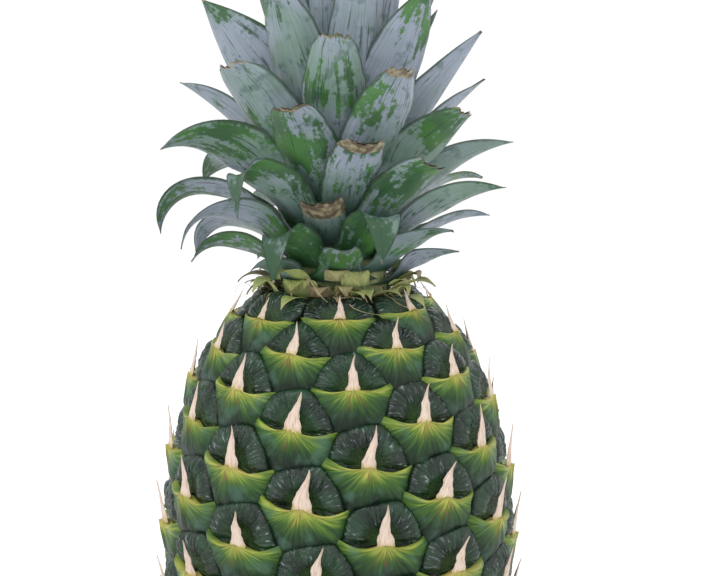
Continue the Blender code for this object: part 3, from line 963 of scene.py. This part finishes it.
@dataclass
class Scatter:
    """A Geometry Nodes tree that stands small shapes on points, turned and sized one by one."""

    name: str
    seed: int = 3

    def tree(self) -> bpy.types.NodeTree:
        """Builds the node tree with its named inputs.

        Returns:
            The tree.
        """
        tree = bpy.data.node_groups.new(self.name, "GeometryNodeTree")
        kinds = {
            "Places": "Geometry", "Shapes": "Collection", "Last Shape": "Int", "Seed": "Int",
            "Finish": "Material",
        }
        for name, kind in kinds.items():
            tree.interface.new_socket(name, in_out="INPUT", socket_type="NodeSocket" + kind)
        tree.interface.new_socket("Pieces", in_out="OUTPUT", socket_type="NodeSocketGeometry")
        new, link = tree.nodes.new, tree.links.new
        given, result = new("NodeGroupInput"), new("NodeGroupOutput")
        shapes = new("GeometryNodeCollectionInfo")
        shapes.inputs["Separate Children"].default_value = True
        shapes.inputs["Reset Children"].default_value = True
        pick = new("FunctionNodeRandomValue")
        pick.data_type = "INT"
        turn = new("GeometryNodeInputNamedAttribute")
        turn.data_type = "FLOAT_VECTOR"
        turn.inputs["Name"].default_value = "turn"
        grow = new("GeometryNodeInputNamedAttribute")
        grow.data_type = "FLOAT"
        grow.inputs["Name"].default_value = "grow"
        rotation = new("FunctionNodeEulerToRotation")
        stand = new("GeometryNodeInstanceOnPoints")
        stand.inputs["Pick Instance"].default_value = True
        real = new("GeometryNodeRealizeInstances")
        dress = new("GeometryNodeSetMaterial")
        whole = [socket for socket in pick.inputs if socket.type == "INT" and socket.enabled]
        link(given.outputs["Last Shape"], next(s for s in whole if s.name == "Max"))
        link(given.outputs["Seed"], next(s for s in whole if s.name == "Seed"))
        link(given.outputs["Shapes"], shapes.inputs["Collection"])
        link(given.outputs["Places"], stand.inputs["Points"])
        link(shapes.outputs[0], stand.inputs["Instance"])
        link(next(s for s in pick.outputs if s.enabled), stand.inputs["Instance Index"])
        link(turn.outputs["Attribute"], rotation.inputs[0])
        link(rotation.outputs[0], stand.inputs["Rotation"])
        link(grow.outputs["Attribute"], stand.inputs["Scale"])
        link(stand.outputs[0], real.inputs[0])
        link(real.outputs[0], dress.inputs["Geometry"])
        link(given.outputs["Finish"], dress.inputs["Material"])
        link(dress.outputs[0], result.inputs[0])
        return tree

    def build(
        self,
        places: list[Matrix],
        sizes: np.ndarray,
        tones: np.ndarray,
        shapes: list[bpy.types.Object],
        material: bpy.types.Material,
    ) -> bpy.types.Object:
        """Stands the shapes on their places and makes one plain mesh of them.

        Args:
            places: Where each copy stands, and how it is turned.
            sizes: Each copy's size against its shape's own.
            tones: A number for each copy that the material reads.
            shapes: The shapes to choose from.
            material: The finish of every copy.

        Returns:
            The finished piece.
        """
        spots = np.array([place.translation[:] for place in places])
        mesh = bpy.data.meshes.new(self.name + "_places")
        mesh.from_pydata(spots.tolist(), [], [])
        turns = mesh.attributes.new("turn", "FLOAT_VECTOR", "POINT")
        angles = np.array([place.to_euler()[:] for place in places], np.float32)
        turns.data.foreach_set("vector", angles.ravel())
        for key, numbers in (("grow", sizes), ("tone", tones)):
            layer = mesh.attributes.new(key, "FLOAT", "POINT")
            layer.data.foreach_set("value", np.asarray(numbers, np.float32))
        host = bpy.data.objects.new(self.name + "_host", mesh)
        scene = bpy.context.scene.collection
        scene.objects.link(host)
        group = bpy.data.collections.new(self.name + "_shapes")
        scene.children.link(group)
        for shape in shapes:
            scene.objects.unlink(shape)
            group.objects.link(shape)
        modifier = host.modifiers.new(self.name, "NODES")
        modifier.node_group = self.tree()
        values = {
            "Shapes": group, "Last Shape": len(shapes) - 1, "Seed": self.seed, "Finish": material,
        }
        for item in modifier.node_group.interface.items_tree:
            if item.in_out == "INPUT" and item.name in values:
                modifier[item.identifier] = values[item.name]
        graph = bpy.context.evaluated_depsgraph_get()
        made = bpy.data.meshes.new_from_object(host.evaluated_get(graph))
        made.name = self.name
        for extra in [host, *shapes]:
            bpy.data.objects.remove(extra)
        bpy.data.collections.remove(group)
        for key in ("turn", "grow"):
            if key in made.attributes:
                made.attributes.remove(made.attributes[key])
        piece = bpy.data.objects.new(self.name, made)
        scene.objects.link(piece)
        return piece


def blade_ring(
    middle: np.ndarray, half_width: np.ndarray, thickness: np.ndarray, cup: np.ndarray, columns: int
) -> tuple[np.ndarray, np.ndarray, dict[str, np.ndarray]]:
    """A thin closed blade along a middle line in its own y, z plane.

    Args:
        middle: One (x, y, z) row for each step from foot to tip.
        half_width: Half of the width at each step.
        thickness: The thickness at each step.
        cup: How far the edges stand forward of the middle at each step.
        columns: Steps across the blade.

    Returns:
        The points, the faces, and the values that its material reads.
    """
    rows = len(middle)
    run = np.gradient(middle, axis=0)
    run /= np.linalg.norm(run, axis=1)[:, None]
    normal = np.stack([np.zeros(rows), -run[:, 2], run[:, 1]], axis=1)
    normal /= np.linalg.norm(normal, axis=1)[:, None]
    across = np.linspace(-1, 1, columns + 1)
    ring = np.concatenate([across, across[::-1]])
    side = np.concatenate([np.ones(columns + 1), -np.ones(columns + 1)])
    flat = side * (1 - 0.8 * ring**2) * 0.5
    points = middle[:, None, :] + normal[:, None, :] * (
        flat[None, :] * thickness[:, None] + (cup[:, None] * ring[None, :] ** 2)
    )[..., None]
    points[..., 0] += ring[None, :] * half_width[:, None]
    faces = grid_faces(rows, len(ring), closed=True)[:, ::-1]
    values = {
        "along": np.repeat(np.linspace(0, 1, rows)[:, None], len(ring), axis=1),
        "across": np.repeat(ring[None, :], rows, axis=0),
    }
    return points.reshape(-1, 3), faces, values


@dataclass
class Spines:
    """The papery awl that stands up from each bract."""

    eyes: EyeField
    length: float = 14.5 * MM
    half_width: float = 2.9 * MM
    thickness: float = 0.75 * MM
    rows: int = 13
    columns: int = 6
    lean_out: float = 2.6 * MM
    shapes: int = 9

    def shape(self, number: int) -> bpy.types.Object:
        """One spine, lying along +y with its face towards +z.

        Args:
            number: Which of the different shapes.

        Returns:
            The shape, at the origin.
        """
        chance = np.random.default_rng(40 + number)
        t = np.linspace(0, 1, self.rows)
        bend, curl = chance.uniform(-1, 1), chance.uniform(-0.4, 1.0)
        fat = chance.uniform(0.85, 1.15)
        length = self.length * chance.uniform(0.85, 1.08)
        x = bend * 2.2 * MM * t**2 + 0.35 * MM * np.sin(7 * t + number)
        y = -1.2 * MM + (length + 1.2 * MM) * t
        z = 0.2 * MM + self.lean_out * t**1.2 + curl * 1.6 * MM * t**3
        taper = np.interp(t, (0.0, 0.12, 0.3, 0.5, 0.72, 1.0), (1.1, 1.0, 0.84, 0.62, 0.28, 0.04))
        ragged = 1 + 0.13 * np.sin(chance.uniform(7, 15) * t + bend)
        ragged = ragged + 0.07 * np.sin(29 * t + number)
        width = self.half_width * fat * taper * ragged
        thick = self.thickness * (1.3 - t) + 0.1 * MM
        cup = -width * 0.35
        points, faces, values = blade_ring(np.stack([x, y, z], 1), width, thick, cup, self.columns)
        return add_piece(f"spine_shape_{number}", points, faces, values, None)

    def build(self, rise: float, material: bpy.types.Material) -> bpy.types.Object:
        """Stands a spine on every eye.

        Args:
            rise: How far out from the skin the spines are rooted.
            material: Their finish.

        Returns:
            The finished piece.
        """
        eyes, line = self.eyes, self.eyes.outline
        places = []
        for azimuth, chart, tilt in zip(eyes.azimuth, eyes.chart, eyes.tilt):
            spot = line.place(azimuth, chart, rise)
            up = np.interp(chart, line.chart, line.up)
            out = np.interp(chart, line.chart, line.out)
            side = Vector((math.cos(azimuth), math.sin(azimuth), 0.0))
            normal = Vector(polar(azimuth, out, up))
            turn = Matrix((side, normal.cross(side), normal)).transposed()
            roll = Matrix.Rotation(math.radians(tilt * 1.2), 3, "Z")
            places.append(Matrix.Translation(Vector(spot)) @ (turn @ roll).to_4x4())
        sizes = np.clip(eyes.scale / line.radius, 0.55, 1.0)
        shapes = [self.shape(n) for n in range(self.shapes)]
        return Scatter("bract_spines", seed=7).build(places, sizes, eyes.tone, shapes, material)


# ------------------------------------------------------------------ the crown


class Tip(Enum):
    """How a leaf ends."""

    POINTED = "pointed"
    CUT = "cut"


@dataclass(frozen=True)
class Habit:
    """What sets one leaf apart from its neighbours."""

    tip: Tip = Tip.POINTED
    kept: float = 1.0  # the share of its length that is left
    fold_at: float | None = None  # where its tip folds over
    rub: float | None = None  # how much of the bloom is rubbed off, from 0 to 1
    dry: float = 0.0  # how far the dryness reaches back from the tip
    twist: float = 24.0  # degrees that the blade turns its back to the front
    broad: float = 1.0  # its width against its neighbours'
    stretch: float = 1.0  # its length against its neighbours'


# The leaves that grew or wore differently from the others, by their number from the lowest.
HABITS: dict[int, Habit] = {
    6: Habit(stretch=1.1),
    9: Habit(fold_at=0.55, rub=0.9),
    11: Habit(stretch=1.1),
    12: Habit(fold_at=0.60, rub=0.9),
    14: Habit(stretch=1.12, rub=0.5),
    15: Habit(rub=0.7),
    17: Habit(Tip.CUT, kept=0.50, rub=0.3, dry=0.5, broad=0.78),
    19: Habit(stretch=1.1, rub=0.5),
    20: Habit(Tip.CUT, kept=0.80, rub=0.75, dry=0.03),
    22: Habit(fold_at=0.66, rub=0.6),
    25: Habit(Tip.CUT, kept=0.78, rub=0.5, dry=0.2, broad=0.9),
    27: Habit(rub=0.55, twist=38, broad=1.2),
    28: Habit(Tip.CUT, kept=0.86, rub=0.5, dry=0.03),
    30: Habit(Tip.CUT, kept=0.82, rub=0.6, dry=0.04),
    33: Habit(Tip.CUT, kept=0.90, rub=0.6, dry=0.08),
    35: Habit(Tip.CUT, kept=0.84, rub=0.5, dry=0.02, twist=30, broad=1.1),
    38: Habit(Tip.CUT, kept=0.86, rub=0.5, dry=0.02),
    40: Habit(rub=0.6, twist=42, broad=1.35),
    43: Habit(rub=0.45),
    46: Habit(rub=0.4),
    51: Habit(rub=0.45),
}


@dataclass
class Leaf:
    """One leaf of the crown, whose posture follows from its rank."""

    number: int
    seat: float
    count: int = 56
    spacing: float = 0.98 * MM
    first_height: float = 1.2 * MM
    front_leaf: int = 38
    front_azimuth: float = math.radians(-3)
    long_rank: float = 0.345  # the short leaves of the skirt end here
    skirt_lengths: tuple[float, float] = (22 * MM, 34 * MM)
    heart_length: float = 50 * MM
    narrow: float = 8 * MM
    width_gain: float = 6.5 * MM
    heart_width_loss: float = 1.5 * MM
    widest_rank: float = 0.7
    widest_at: float = 0.35  # the share of its length
    outer_lean: float = 68.0
    lean_loss: float = 71.0
    front_lift: float = 0.24  # the share of their lean that leaves in front have lost
    arch: tuple[float, float] = (0.12, 0.28)  # degrees gained per mm, least and more at the side
    hook: float = 0.022  # the arch gained per mm
    hook_ranks: tuple[float, float] = (0.25, 0.68)
    claw: float = 42.0  # degrees that the outer leaves' tips turn further down
    claw_ranks: tuple[float, float] = (0.42, 0.62)
    fold: float = 95.0
    stem: float = 18 * MM
    stem_tip: float = 1.5 * MM
    stem_height: float = 60 * MM
    wrap: float = math.radians(56)
    gutter: float = 0.34  # the depth of its channel against its half-width
    thickness: float = 1.0 * MM
    foot_gap: float = 0.5 * MM  # between the stem and the leaf's foot
    tip_half_width: float = 0.35 * MM
    ripple: float = 0.45 * MM  # how far the margins wave
    tears: tuple[float, float] = (0.8 * MM, 0.6 * MM)  # depths of a cut end's coarse and fine tears
    corner_loss: float = 1.2 * MM  # how far a cut end's corners stand back
    rows: int = 36
    columns: int = 12

    @property
    def rank(self) -> float:
        """0 for the lowest leaf, 1 for the innermost of the frame's leaves."""
        return self.number / (self.count - 1)

    @property
    def azimuth(self) -> float:
        """The direction that the leaf faces."""
        return self.front_azimuth + GOLDEN_TURN * (self.number - self.front_leaf)

    @property
    def habit(self) -> Habit:
        """What is special about this leaf."""
        return HABITS.get(self.number, Habit())

    @property
    def length(self) -> float:
        """The whole leaf's length, as it grew."""
        outer = min(self.rank / self.long_rank, 1.0)
        inner = max(self.rank - self.long_rank, 0.0) / (1 - self.long_rank)
        skirt = self.skirt_lengths[0] + self.skirt_lengths[1] * outer**0.75
        return (skirt + self.heart_length * inner**1.8) * self.habit.stretch

    def stem_radius(self) -> float:
        """The stem's radius at the leaf's foot."""
        share = min((self.first_height + self.spacing * self.number) / self.stem_height, 1.0)
        return self.stem_tip + (self.stem - self.stem_tip) * math.sqrt(1 - share**1.7)

    def lean(self, along: np.ndarray) -> np.ndarray:
        """The blade's lean at distances along it.

        Args:
            along: Distances from the foot.

        Returns:
            The lean at each, in radians.
        """
        rank, run = self.rank, along / MM
        bend = 0.70 + 0.30 * math.cos(self.azimuth + math.radians(95))
        front = (1 + math.cos(self.azimuth)) / 2
        share = along / self.length
        lean = (self.outer_lean - self.lean_loss * rank**1.8) * (1 - self.front_lift * front)
        lean = lean + (self.arch[0] + self.arch[1] * bend) * (1 - rank) * run
        lean = lean + self.hook * bend**2 * (1 - ease(rank, *self.hook_ranks)) * run**2
        claw = self.claw * bend * (1 - ease(rank, *self.claw_ranks))
        lean = lean + claw * ease(share, 0.55, 1.0)
        if self.habit.fold_at is not None:
            lean = lean + self.fold * ease(share, self.habit.fold_at, self.habit.fold_at + 0.1)
        return np.radians(np.minimum(lean, 178.0))

    def half_width(self, share: np.ndarray) -> np.ndarray:
        """Half of the leaf's width.

        Args:
            share: Places along the whole leaf, from 0 to 1.

        Returns:
            The half-width at each.
        """
        rank = self.rank
        widest = self.narrow + self.width_gain * min(rank / self.widest_rank, 1.0)
        widest -= self.heart_width_loss * max(rank - self.widest_rank, 0) / (1 - self.widest_rank)
        swell = 0.80 + 0.20 * np.sin(np.minimum(share / self.widest_at, 1) * math.pi / 2)
        point = 1.6 + 0.5 * ease(rank, 0.2, 0.5)
        past = np.maximum((share - self.widest_at) / (1 - self.widest_at), 0)
        taper = 1 - past**point
        blade = np.maximum(widest * swell * taper, self.tip_half_width)
        clasp = np.maximum(0.9 * self.stem_radius() - blade, 0)
        return blade + clasp * np.maximum(1 - share / 0.25, 0) ** 2

    def build(self, material: bpy.types.Material) -> bpy.types.Object:
        """Makes the leaf as a thin closed blade with a gutter and uneven edges.

        Args:
            material: The leaf skin.

        Returns:
            The leaf.
        """
        habit = self.habit
        chance = np.random.default_rng(500 + self.number)
        fine = 5
        t = np.linspace(0, 1, self.rows * fine + 1)
        along = t * self.length * habit.kept
        middle = (along[1:] + along[:-1]) / 2
        ds = np.diff(along)
        lean_mid = self.lean(middle)
        start = self.stem_radius() + self.foot_gap + self.thickness / 2
        radius = start + np.concatenate([[0], np.cumsum(np.sin(lean_mid) * ds)])
        height = self.seat + self.first_height + self.spacing * self.number
        height = height + np.concatenate([[0], np.cumsum(np.cos(lean_mid) * ds)])
        pick = slice(None, None, fine)
        radius, height, along, t = radius[pick], height[pick], along[pick], t[pick]
        lean = self.lean(along)
        share = along / self.length
        width = self.half_width(share) * habit.broad
        across = np.linspace(-1, 1, self.columns + 1)
        ring = np.concatenate([across, across[::-1]])
        side = np.concatenate([np.ones(self.columns + 1), -np.ones(self.columns + 1)])
        phase = chance.uniform(0, 6.28, 4)
        gutter = self.gutter * width * ease(share, 0.02, 0.35)
        ripple = self.ripple * np.sin(9 * t + phase[0]) * ease(share, 0.1, 0.5)
        edge_lift = gutter[:, None] * ring**2 + ripple[:, None] * ring * np.abs(ring)
        thick = self.thickness * (1 - 0.45 * t)
        if habit.tip is Tip.POINTED:
            thick = thick * (1 - 0.6 * ease(t, 0.8, 1.0))
        skin = side * (1 - 0.75 * np.abs(ring) ** 3) / 2
        lift = edge_lift + skin[None, :] * thick[:, None]
        twist = -math.sin(self.azimuth) * math.radians(habit.twist + chance.uniform(-8, 8))
        roll = twist * ease(share, 0.12, 0.55)
        lift = lift + (width * np.sin(roll))[:, None] * ring
        turn = np.minimum(width * np.cos(roll) / radius, self.wrap)
        uneven = 1 + 0.025 * np.sin(23 * t + phase[1]) + 0.015 * np.sin(51 * t + phase[2])
        sway = math.radians(chance.uniform(-3.5, 3.5)) * t**2
        azimuth = self.azimuth + sway[:, None] + (turn * uneven)[:, None] * ring
        back = np.zeros_like(azimuth)
        if habit.tip is not Tip.POINTED:
            jag = self.tears[0] * np.sin(7 * ring + phase[3])
            jag = jag + self.tears[1] * np.sin(17 * ring + phase[1])
            back = ease(t, 0.9, 1.0)[:, None] * (jag - self.corner_loss * ring**2)[None, :]
        r = radius[:, None] - np.cos(lean)[:, None] * lift + np.sin(lean)[:, None] * back
        z = height[:, None] + np.sin(lean)[:, None] * lift + np.cos(lean)[:, None] * back
        points = polar(azimuth, r, z).reshape(-1, 3)
        faces = grid_faces(len(t), len(ring), closed=True)
        full = np.zeros(azimuth.shape)
        rub = habit.rub if habit.rub is not None else chance.uniform(0.1, 0.75)
        tip_dry = 0.55 * ease(share, 0.93, 1.0) + 0.4 * ease(t, 1 - max(habit.dry, 0.03), 1.0)
        if habit.dry:
            tip_dry = tip_dry + 0.6 * ease(t, 1 - habit.dry, 1 - 0.7 * habit.dry)
        values = {
            "along": full + share[:, None],
            "across": full + ring,
            "outer": full + (side < 0),
            "rub": full + rub,
            "dry": full + tip_dry[:, None],
            "tone": full + chance.uniform(0, 1),
        }
        return add_piece(f"leaf_blade_{self.number + 1:02d}", points, faces, values, material)


@dataclass
class Crown:
    """The crown's leaves."""

    seat: float

    def build(self, material: bpy.types.Material) -> list[bpy.types.Object]:
        """Makes every leaf and joins it to the frame.

        Args:
            material: The leaf skin.

        Returns:
            The leaves.
        """
        made = []
        for number in range(Leaf.count):
            piece = Leaf(number, self.seat).build(material)
            settle(piece, "leaf", f"crown_leaf_{number + 1:02d}")
            made.append(piece)
        return made


@dataclass
class Collar:
    """The small folded bracts and the dry fibres between the fruit and the crown."""

    seat: float
    radius: float = 20 * MM
    bracts: int = 46
    low_bracts: int = 30
    upper_shift: float = 3.5 * MM  # how far the upper bracts are moved out
    upper_rise: float = 4.5  # mm from the seat up to the upper bracts' feet
    fibres: int = 46
    shapes: int = 10  # different bracts, and as many different fibres
    folded_shapes: int = 4

    def bract_shape(self, number: int) -> bpy.types.Object:
        """A small bract that leans out along +y and folds down at its tip.

        Args:
            number: Which of the different shapes.

        Returns:
            The shape, at the origin.
        """
        chance = np.random.default_rng(80 + number)
        rows = 14
        t = np.linspace(0, 1, rows)
        folded = number < self.folded_shapes
        fold = chance.uniform(85, 120) * ease(t, 0.45, 0.65) if folded else 50 * t**2
        lean = (25 if folded else 55) + 40 * t + fold
        step = (chance.uniform(10, 14) if folded else chance.uniform(12, 19)) * MM / rows
        y = np.concatenate([[0], np.cumsum(np.sin(np.radians(lean[:-1])) * step)])
        z = np.concatenate([[0], np.cumsum(np.cos(np.radians(lean[:-1])) * step)])
        width = chance.uniform(3.6, 5.2) * MM * (1 - 0.97 * ease(t, 0.4, 1.02)) + 0.1 * MM
        middle = np.stack([0 * t, y, z], 1)
        points, faces, values = blade_ring(middle, width, 0.5 * MM + 0 * t, 0.15 * width, 6)
        return add_piece(f"bract_shape_{number}", points, faces, values, None)

    def build_bracts(self, material: bpy.types.Material) -> bpy.types.Object:
        """Stands the bracts in loose rings round the crown's foot.

        Args:
            material: Their finish.

        Returns:
            The finished piece.
        """
        chance = np.random.default_rng(21)
        places = []
        for n in range(self.bracts):
            azimuth = GOLDEN_TURN * n + chance.uniform(-0.1, 0.1)
            high = n >= self.low_bracts
            radius = self.radius + 5 * MM * (1 - n / self.bracts) + chance.uniform(-2, 1.5) * MM
            radius += self.upper_shift if high else 0.0
            foot = self.upper_rise if high else self.upper_rise * n / self.bracts - 2
            rise = chance.uniform(-1.5, 1.5) + foot
            spot = Vector(polar(azimuth, radius, self.seat + rise * MM))
            turn = Matrix.Rotation(azimuth + math.pi + chance.uniform(-0.35, 0.35), 3, "Z")
            tip = Matrix.Rotation(math.radians(chance.uniform(-22, 16)), 3, "X")
            places.append(Matrix.Translation(spot) @ (turn @ tip).to_4x4())
        shapes = [self.bract_shape(n) for n in range(self.shapes)]
        sizes, tones = chance.uniform(0.65, 1.3, self.bracts), chance.uniform(0, 1, self.bracts)
        return Scatter("collar_bracts", seed=5).build(places, sizes, tones, shapes, material)

    def fibre_shape(self, number: int) -> bpy.types.Object:
        """A thin curled fibre that runs out along +y and droops.

        Args:
            number: Which of the different shapes.

        Returns:
            The shape, at the origin.
        """
        chance = np.random.default_rng(140 + number)
        rows = 18
        t = np.linspace(0, 1, rows)
        lean = 60 + 75 * t + 35 * np.sin(chance.uniform(4, 8) * t + chance.uniform(0, 6))
        step = chance.uniform(14, 24) * MM / rows
        y = np.concatenate([[0], np.cumsum(np.sin(np.radians(lean[:-1])) * step)])
        z = np.concatenate([[0], np.cumsum(np.cos(np.radians(lean[:-1])) * step)])
        x = chance.uniform(2, 5) * MM * np.sin(chance.uniform(2, 5) * t)
        width = 0.38 * MM * (1 - 0.7 * t)
        points, faces, values = blade_ring(np.stack([x, y, z], 1), width, 0.5 * width, 0 * t, 3)
        return add_piece(f"fibre_shape_{number}", points, faces, values, None)

    def build_fibres(self, material: bpy.types.Material) -> bpy.types.Object:
        """Hangs the fibres over the shoulder.

        Args:
            material: Their finish.

        Returns:
            The finished piece.
        """
        chance = np.random.default_rng(22)
        places = []
        for _ in range(self.fibres):
            azimuth = chance.uniform(0, math.tau)
            radius = self.radius + chance.uniform(0, 5) * MM
            spot = Vector(polar(azimuth, radius, self.seat + chance.uniform(-1, 2) * MM))
            turn = Matrix.Rotation(azimuth + math.pi + chance.uniform(-0.7, 0.7), 3, "Z")
            places.append(Matrix.Translation(spot) @ turn.to_4x4())
        shapes = [self.fibre_shape(n) for n in range(self.shapes)]
        sizes, tones = chance.uniform(0.7, 1.2, self.fibres), chance.uniform(0, 1, self.fibres)
        return Scatter("collar_fibres", seed=6).build(places, sizes, tones, shapes, material)


# ------------------------------------------------------------------ the studio


@dataclass(frozen=True)
class Lamp:
    """A square soft light that faces the object."""

    name: str
    place: tuple[float, float, float]
    size: float
    power: float  # in watts


@dataclass
class Studio:
    """The floor, the lights and the camera."""

    aim_height: float
    distance: float = 0.76
    elevation: float = 7.7
    side_shift: float = 8 * MM
    frame_width: float = 0.2665
    sky_strength: float = 1.03
    floor_white: float = 0.97
    floor_radii: tuple[float, ...] = (0.0005, 0.3, 1.2, 4.0)
    floor_drop: float = 0.0002  # how far the floor lies below the base
    lamps: tuple[Lamp, ...] = (
        Lamp("key", (-0.7, -1.0, 1.35), 0.6, 9),
        Lamp("fill", (1.2, -0.7, 0.7), 1.0, 2),
        Lamp("back", (0.3, 1.1, 1.0), 0.8, 4),
    )

    def light(self, lamp: Lamp) -> None:
        """Hangs a light.

        Args:
            lamp: Its place, size and power.
        """
        light = bpy.data.lights.new(lamp.name, "AREA")
        light.size = lamp.size
        light.energy = lamp.power
        holder = bpy.data.objects.new(lamp.name, light)
        holder.location = Vector(lamp.place)
        aim = Vector((0, 0, self.aim_height)) - holder.location
        holder.rotation_euler = aim.to_track_quat("-Z", "Y").to_euler()
        bpy.context.scene.collection.objects.link(holder)

    def build(self) -> None:
        """Lays the floor, hangs the lights and sets the camera."""
        scene = bpy.context.scene
        columns = 64
        turn = np.linspace(0, math.tau, columns, endpoint=False)[None, :]
        radii = np.array(self.floor_radii)[:, None]
        points = polar(turn, radii, np.full((len(radii), columns), -self.floor_drop))
        floor_skin = Finish("pale_floor", 0.9)
        floor_skin.put(floor_skin.shader.inputs["Base Color"], (self.floor_white,) * 3)
        faces = grid_faces(len(radii), columns, closed=True)
        floor = add_piece("floor", points.reshape(-1, 3), faces, {}, floor_skin.material)
        world = bpy.data.worlds.new("studio")
        world.use_nodes = True
        sky = world.node_tree.nodes["Background"]
        sky.inputs["Color"].default_value = (1.0, 1.0, 1.0, 1.0)
        sky.inputs["Strength"].default_value = self.sky_strength
        scene.view_settings.view_transform = "Standard"
        scene.world = world
        for lamp in self.lamps:
            self.light(lamp)
        camera = bpy.data.cameras.new("view")
        camera.sensor_width = 36.0
        camera.lens = camera.sensor_width * self.distance / self.frame_width
        holder = bpy.data.objects.new("view", camera)
        lift = math.radians(self.elevation)
        aim = Vector((self.side_shift, 0, self.aim_height))
        holder.location = aim + self.distance * Vector((0, -math.cos(lift), math.sin(lift)))
        holder.rotation_euler = (aim - holder.location).to_track_quat("-Z", "Y").to_euler()
        scene.collection.objects.link(holder)
        scene.camera = holder


def settle(piece: bpy.types.Object, slot: str, *nodes: str) -> None:
    """Joins a finished piece to the frame.

    Args:
        piece: The finished piece.
        slot: The record's material slot for the piece; not used.
        nodes: The frame's nodes that it stands for.
    """
    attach(piece, "root")
    if nodes:
        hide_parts(*nodes)
    LOG.info("%s: %d faces", piece.name, len(piece.data.polygons))


def main() -> None:
    """Builds the pineapple over its frame, and the studio round it."""
    logging.basicConfig(level=logging.INFO, format="%(message)s")
    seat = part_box("crown_stem")[0][2] + 5 * MM
    outline = Outline(seat)
    eyes = EyeField(outline)
    rind = Rind(eyes)
    paper = PaperFinish().material()
    # The groove skin's near-black colour is painted shade deep in the grooves.
    groove = PlainFinish("groove_shade_skin", (0.02, 0.05, 0.015), (0.005, 0.012, 0.005))
    skin = [rind.core(groove.material()), *rind.calyxes(KnobFinish().material())]
    skin += [rind.plates(BractFinish().material()), Spines(eyes).build(SPINE_ROOT, paper)]
    for piece in skin:
        settle(piece, "fruit_skin", "fruit_body")
    leaf_skin = LeafFinish().material()
    made = Crown(seat).build(leaf_skin)
    LOG.info("crown: %d leaves", len(made))
    collar = Collar(seat)
    settle(collar.build_bracts(COLLAR_BRACT.material()), "leaf")
    settle(collar.build_fibres(DRY_FIBRE.material()), "leaf")
    stalk = PlainFinish("cut_stalk_end", (0.45, 0.36, 0.20), (0.20, 0.14, 0.07), 420.0)
    stem = PlainFinish("pale_stem", (0.42, 0.46, 0.22), (0.16, 0.21, 0.08))
    for node, finish in (("stalk_stub", stalk), ("crown_stem", stem)):
        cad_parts[node].material_slots[0].material = finish.material()
    Studio(seat).build()


if __name__ == "__main__":
    main()
